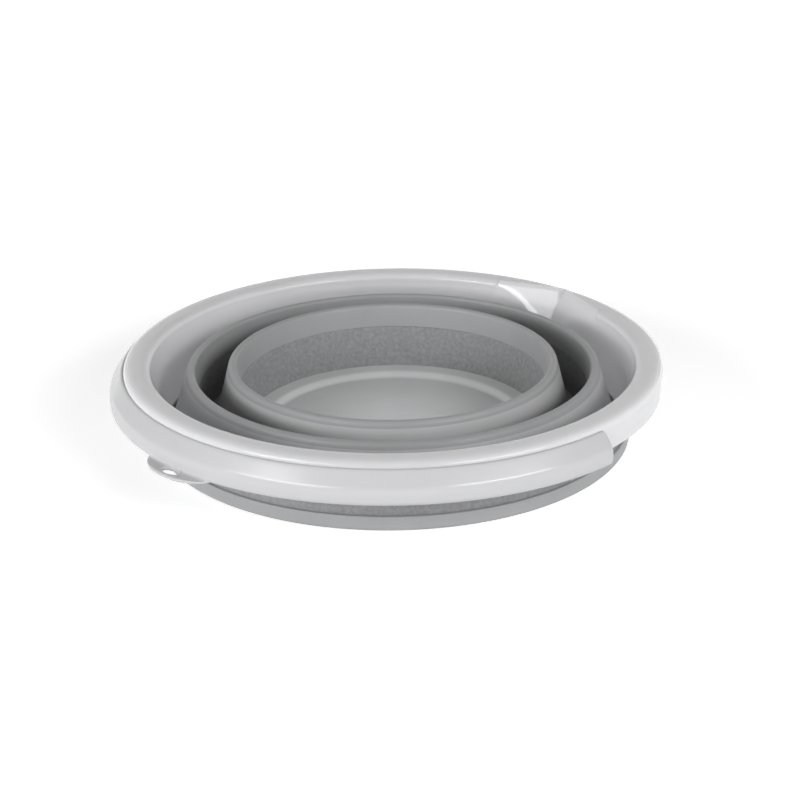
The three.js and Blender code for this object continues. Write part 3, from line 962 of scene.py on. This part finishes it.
class HandleShape:
    """The handle's section about its pivots, and the tab that grows out of its rounded foot"""

    def __init__(self, sizes, rim_radius):
        self.sizes = sizes
        self.half = sizes.height / 2
        self.inner = rim_radius + sizes.gap
        self.edge = self.inner + sizes.top_edge
        self.outer = self.inner + sizes.depth
        self.foot = Vector((self.outer - sizes.foot_round, -self.half))
        self.heel = Vector((self.outer, sizes.foot_round - self.half))
        self.ridge = Vector((self.outer - sizes.ridge_set, self.half - sizes.ridge_drop))
        self.slope = (self.ridge.x - self.edge) / sizes.ridge_drop
        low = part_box("handle")[0]
        self.tip = -low.y
        self.tab_foot = low.z - handle_pivot(sizes)

    def outside(self):
        """The section's outside, from its foot past the heel and the ridge to its top."""
        sizes = self.sizes
        yield from curve(self.foot, Vector((self.outer, -self.half)), self.heel, FOOT_STEPS)
        bend = Vector((self.outer, self.ridge.y - sizes.ridge_set / self.slope))
        yield from curve(self.heel, bend, self.ridge, SECTION_STEPS)
        top = Vector((self.inner, self.half))
        shoulder = Vector((self.edge + self.slope * sizes.top_round, self.half - sizes.top_round))
        yield from curve(self.ridge, self.ridge.lerp(shoulder, 0.5), shoulder, CORNER_STEPS)
        yield from curve(shoulder, Vector((self.edge, self.half)), top, CORNER_STEPS)
        yield top

    def tab(self, share):
        """A point of the tab's outside, from the heel at 0 round the tip to the foot at 1."""
        round_tip = self.sizes.tab_wall / 2
        top = self.tab_foot + self.sizes.tab_wall
        root = Vector((self.outer + self.sizes.tab_fillet, top))
        tip = Vector((self.tip - round_tip, self.tab_foot + round_tip))
        if share < FILLET_END:
            along = share / FILLET_END
            bend = Vector((self.outer, top))
            return self.heel.lerp(bend, along).lerp(bend.lerp(root, along), along)
        if share < TOP_END:
            return root.lerp(Vector((tip.x, top)), (share - FILLET_END) / (TOP_END - FILLET_END))
        if share < TIP_END:
            angle = pi / 2 - pi * (share - TOP_END) / (TIP_END - TOP_END)
            return tip + round_tip * Vector((cos(angle), sin(angle)))
        foot = Vector((self.foot.x, self.tab_foot))
        return Vector((tip.x, self.tab_foot)).lerp(foot, (share - TIP_END) / (1 - TIP_END))

    def tab_fullness(self, bearing):
        """How far the tab is grown on a bearing from -Y, from 0 to 1."""
        off = abs(self.outer * sin(bearing)) / self.sizes.tab_half
        return max(1 - off ** TAB_SQUARENESS, 0) ** TAB_BLUNTNESS


class BUCKET_OT_handle(bpy.types.Operator):
    """Make the handle, with its pegs, pockets and hanging tab"""

    bl_idname = "bucket.handle"
    bl_label = "Handle"

    def execute(self, context):
        sizes = context.scene.bucket_handle
        rim = RimShape(context.scene.bucket_rim)
        shape = HandleShape(sizes, rim.radius)
        piece = object_of("handle_moulding", handle_bar(shape))
        combine(piece, "DIFFERENCE", handle_pockets(shape, rim.radius))
        hole = upright_cylinder(1, sizes.height)
        reach = shape.tip - sizes.hole_edge - sizes.hole_half_reach
        oval = Matrix.Diagonal((sizes.hole_half_width, sizes.hole_half_reach, 1, 1))
        place = Matrix.Translation((0, -reach, -shape.half))
        bmesh.ops.transform(hole, matrix=place @ oval, verts=hole.verts)
        combine(piece, "DIFFERENCE", hole)
        seam = context.scene.bucket_soft.seam
        head_face = rim.radius - seam - rim.sizes.ear_wall - seam
        head_end = head_face - sizes.peg_head_length
        for facing in PIVOTS:
            combine(piece, "UNION", peg_along_x(head_face - seam, shape.edge, sizes.peg_radius, 0, facing))
            combine(piece, "UNION", peg_along_x(
                head_end, head_face, sizes.peg_radius, 0, facing, sizes.peg_head_radius))
        piece.data.transform(Matrix.Translation((0, 0, handle_pivot(sizes))))
        dress(piece, finish(context, "handle"), "handle_plastic", "handle")
        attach(piece, "handle")
        return {"FINISHED"}


def handle_bar(shape):
    """The handle's bar from -X round by -Y to +X, with its rounded ends and the tab."""
    bm = bmesh.new()
    section = [Vector((shape.inner, -shape.half)), *shape.outside()]
    points, edges = line(bm, [(-point.x, 0, point.y) for point in section])
    side = pi / 2 - TAB_BEARING
    last = swept(bm, points + edges, ((side, BAR_STEPS), (2 * TAB_BEARING, TAB_STEPS), (side, BAR_STEPS)))
    grow_tab(bm, shape)
    for loop, way in ((edges, -1), (last, 1)):
        round_end(bm, only(BMEdge, loop), shape, way)
    face_out(bm)
    return bm


def grow_tab(bm, shape):
    """Draws the bar's rounded foot out into the tab at -Y."""
    for vert in bm.verts:
        fullness = shape.tab_fullness(atan2(vert.co.x, -vert.co.y))
        radius = vert.co.xy.length
        above_heel = vert.co.z > shape.heel.y + MERGE
        if fullness == 0 or vert.co.y > 0 or above_heel or radius < shape.foot.x - MERGE:
            continue
        share = sqrt(min(max(shape.outer - radius, 0) / shape.sizes.foot_round, 1))
        grown = Vector((radius, vert.co.z)).lerp(shape.tab(share), fullness)
        vert.co.xy *= grown.x / radius
        vert.co.z = grown.y


def round_end(bm, loop, shape, way):
    """Closes one end of the bar with a rounded end past the pivot, capped just short of a point."""
    bearing = pi if way < 0 else 0
    across = Vector((cos(bearing), sin(bearing), 0))
    full = None
    for step in range(1, END_STEPS + 1):
        angle = pi / 2 * step / (END_STEPS + 0.5)
        made = bmesh.ops.extrude_edge_only(bm, edges=loop)
        verts = only(BMVert, made["geom"])
        loop = [edge for edge in only(BMEdge, made["geom"]) if all(vert in verts for vert in edge.verts)]
        full = full or [(vert.co.dot(across) - shape.inner, vert.co.z) for vert in verts]
        past_pivot = way * shape.sizes.end_reach * sin(angle) / shape.inner
        place = Matrix.Rotation(bearing + past_pivot, 3, "Z")
        for vert, (out, up) in zip(verts, full):
            vert.co = place @ Vector((shape.inner + out * cos(angle), 0, up * cos(angle)))
    bmesh.ops.edgeloop_fill(bm, edges=loop)


def handle_pockets(shape, rim_radius):
    """Wedges that hollow out the handle's back, with a rib left between each and the next."""
    sizes = shape.sizes
    floor = shape.outer - sizes.skin
    mouth = shape.half - sizes.flange
    draft = mouth - sizes.flange / 2
    skin = sizes.skin * hypot(1, shape.slope)

    def under_face(radius):
        return shape.half - (radius + skin - shape.edge) / shape.slope

    outline = (
        (rim_radius, min(mouth, under_face(rim_radius))), (rim_radius, -mouth),
        (floor, -draft), (floor, under_face(floor)),
    )
    first = pi + sizes.solid_end / shape.inner
    pitch = (3 * pi - 2 * first) / sizes.pocket_count
    gap = sizes.rib_wall / shape.inner
    bm = bmesh.new()
    for pocket in range(sizes.pocket_count):
        start = Matrix.Rotation(first + pitch * pocket + gap / 2, 3, "Z")
        points, edges = line(bm, [start @ Vector((radius, 0, height)) for radius, height in outline])
        last = swept(bm, points + edges, ((pitch - gap, POCKET_STEPS),))
        bm.faces.new(points)
        bm.faces.new(only(BMVert, last))
    face_out(bm)
    return bm


class BUCKET_OT_stage(bpy.types.Operator):
    """Set the camera, the lights and the white floor"""

    bl_idname = "bucket.stage"
    bl_label = "Stage"

    def execute(self, context):
        settings = context.scene.bucket_stage
        set_camera(context, settings)
        set_lights(settings)
        set_floor(settings)
        set_world(context, settings)
        context.scene.view_settings.view_transform = "Standard"
        return {"FINISHED"}


def bearing_of(azimuth, elevation):
    """Unit vector from the bucket towards a place round it."""
    flat = cos(elevation)
    return Vector((sin(azimuth) * flat, -cos(azimuth) * flat, sin(elevation)))


def set_camera(context, settings):
    """Stands the camera where the picture was taken from."""
    data = bpy.data.cameras.new("camera")
    data.lens = settings.lens
    camera = bpy.data.objects.new("camera", data)
    context.scene.collection.objects.link(camera)
    back = bearing_of(settings.azimuth, settings.elevation)
    right = Vector((cos(settings.azimuth), sin(settings.azimuth), 0))
    target = right * settings.aside + Vector((0, 0, settings.target_height))
    camera.location = target + back * settings.distance
    camera.rotation_mode = "QUATERNION"
    camera.rotation_quaternion = back.to_track_quat("Z", "Y") @ Quaternion((0, 0, 1), -settings.roll)
    context.scene.camera = camera


def softbox(name, place, size, glow):
    """An oblong light that faces the bucket, with one radiance all over."""
    data = bpy.data.lights.new(name, "AREA")
    data.shape = "RECTANGLE"
    data.size, data.size_y = size
    data.energy = glow * pi * size[0] * size[1]
    light = bpy.data.objects.new(name, data)
    bpy.context.scene.collection.objects.link(light)
    light.location = place
    light.rotation_mode = "QUATERNION"
    light.rotation_quaternion = place.to_track_quat("Z", "Y")
    light.visible_camera = False
    return light


def set_lights(settings):
    """Soft lights for the colours, glints that only glossy surfaces show, and lights for single pieces."""
    def stand(name, aside, up, shape, glow):
        distance, *size = shape
        place = bearing_of(settings.azimuth + radians(aside), radians(up)) * distance
        return softbox(name, place, size, glow)

    for name, light in SOFT_LIGHTS.items():
        stand(name, *light).visible_glossy = False
    milky = bpy.data.collections.new(MILKY)
    for name, light in RIM_LIGHTS.items():
        inner_light = stand(name, *light)
        inner_light.visible_glossy = False
        inner_light.light_linking.receiver_collection = milky
        inner_light.light_linking.blocker_collection = milky
    for name, light in GLINTS.items():
        stand(name, *light).visible_diffuse = False
    place = Vector((0, 0, WELL_HEIGHT))
    well_light = softbox("well_softbox", place, (WELL_WIDTH, WELL_WIDTH), WELL_GLOW)
    well_light.visible_glossy = False
    well_light.light_linking.receiver_collection = bpy.data.collections.new(WELL)


def set_floor(settings):
    """A white floor that keeps the bucket's shadow."""
    bm = bmesh.new()
    bmesh.ops.create_grid(bm, x_segments=1, y_segments=1, size=6)
    bmesh.ops.translate(bm, vec=(0, 0, -FLOOR_DROP), verts=bm.verts)
    floor = object_of("floor", bm)
    material = bpy.data.materials.new("white_sweep")
    material.use_nodes = True
    nodes = material.node_tree.nodes
    link = material.node_tree.links.new
    shader = valued(nodes["Principled BSDF"], {
        "Base Color": (0.82, 0.82, 0.82, 1),
        "Roughness": 0.9,
        "Specular IOR Level": 0,
        "Emission Color": (1, 1, 1, 1),
    })
    place = nodes.new("ShaderNodeTexCoord")
    away = nodes.new("ShaderNodeVectorMath")
    away.operation = "LENGTH"
    link(place.outputs["Object"], away.inputs[0])
    lift = valued(nodes.new("ShaderNodeMapRange"), {
        "From Min": settings.floor_near,
        "From Max": settings.floor_far,
        "To Min": settings.floor_lift,
        "To Max": 1,
    })
    link(away.outputs["Value"], lift.inputs["Value"])
    glow = nodes.new("ShaderNodeMath")
    glow.operation = "MULTIPLY"
    link(lift.outputs["Result"], glow.inputs[0])
    link(seen_directly(nodes, link), glow.inputs[1])
    link(glow.outputs["Value"], shader.inputs["Emission Strength"])
    floor.data.materials.append(material)


def seen_directly(nodes, link):
    """A value that is 1 where a surface is seen by the camera, in a reflection or through a clear piece."""
    path = nodes.new("ShaderNodeLightPath")
    most = path.outputs["Is Camera Ray"]
    for ray in ("Is Glossy Ray", "Is Transmission Ray"):
        larger = nodes.new("ShaderNodeMath")
        larger.operation = "MAXIMUM"
        link(most, larger.inputs[0])
        link(path.outputs[ray], larger.inputs[1])
        most = larger.outputs["Value"]
    return most


def set_world(context, settings):
    """White surroundings that light the bucket softly and look plain white."""
    world = bpy.data.worlds.new("white_surroundings")
    context.scene.world = world
    world.use_nodes = True
    nodes = world.node_tree.nodes
    link = world.node_tree.links.new
    background = valued(nodes["Background"], {"Color": (1, 1, 1, 1)})
    strength = valued(nodes.new("ShaderNodeMapRange"), {"To Min": settings.sky, "To Max": 1})
    link(seen_directly(nodes, link), strength.inputs["Value"])
    link(strength.outputs["Result"], background.inputs["Strength"])


class BUCKET_PT_bucket(bpy.types.Panel):
    """Sizes, finishes and steps of the bucket"""

    bl_idname = "BUCKET_PT_bucket"
    bl_label = "Collapsible Bucket"
    bl_space_type = "VIEW_3D"
    bl_region_type = "UI"
    bl_category = "Bucket"

    def draw(self, context):
        for operator in OPERATORS:
            self.layout.operator(operator.bl_idname)
        for name in GROUPS:
            box = self.layout.box()
            group = getattr(context.scene, name)
            for key in group.__annotations__:
                box.prop(group, key)


GROUPS = {
    "bucket_rim": RimSizes,
    "bucket_soft": SoftSizes,
    "bucket_floor": FloorSizes,
    "bucket_handle": HandleSizes,
    "bucket_finishes": Finishes,
    "bucket_stage": StageSettings,
}
OPERATORS = (
    BUCKET_OT_stage,
    BUCKET_OT_rim,
    BUCKET_OT_walls,
    BUCKET_OT_hoops,
    BUCKET_OT_folds,
    BUCKET_OT_floor,
    BUCKET_OT_handle,
)
CLASSES = (*GROUPS.values(), *OPERATORS, BUCKET_PT_bucket)


def register():
    """Add the bucket's properties, operators and panel."""
    for entry in CLASSES:
        bpy.utils.register_class(entry)
    for name, group in GROUPS.items():
        setattr(bpy.types.Scene, name, bpy.props.PointerProperty(type=group))


def unregister():
    """Take them away again."""
    for name in GROUPS:
        delattr(bpy.types.Scene, name)
    for entry in reversed(CLASSES):
        bpy.utils.unregister_class(entry)


def main():
    """Build the whole bucket and its stage."""
    register()
    bpy.ops.bucket.stage()
    bpy.ops.bucket.rim()
    bpy.ops.bucket.walls()
    bpy.ops.bucket.hoops()
    bpy.ops.bucket.folds()
    bpy.ops.bucket.floor()
    bpy.ops.bucket.handle()


if __name__ == "__main__":
    main()
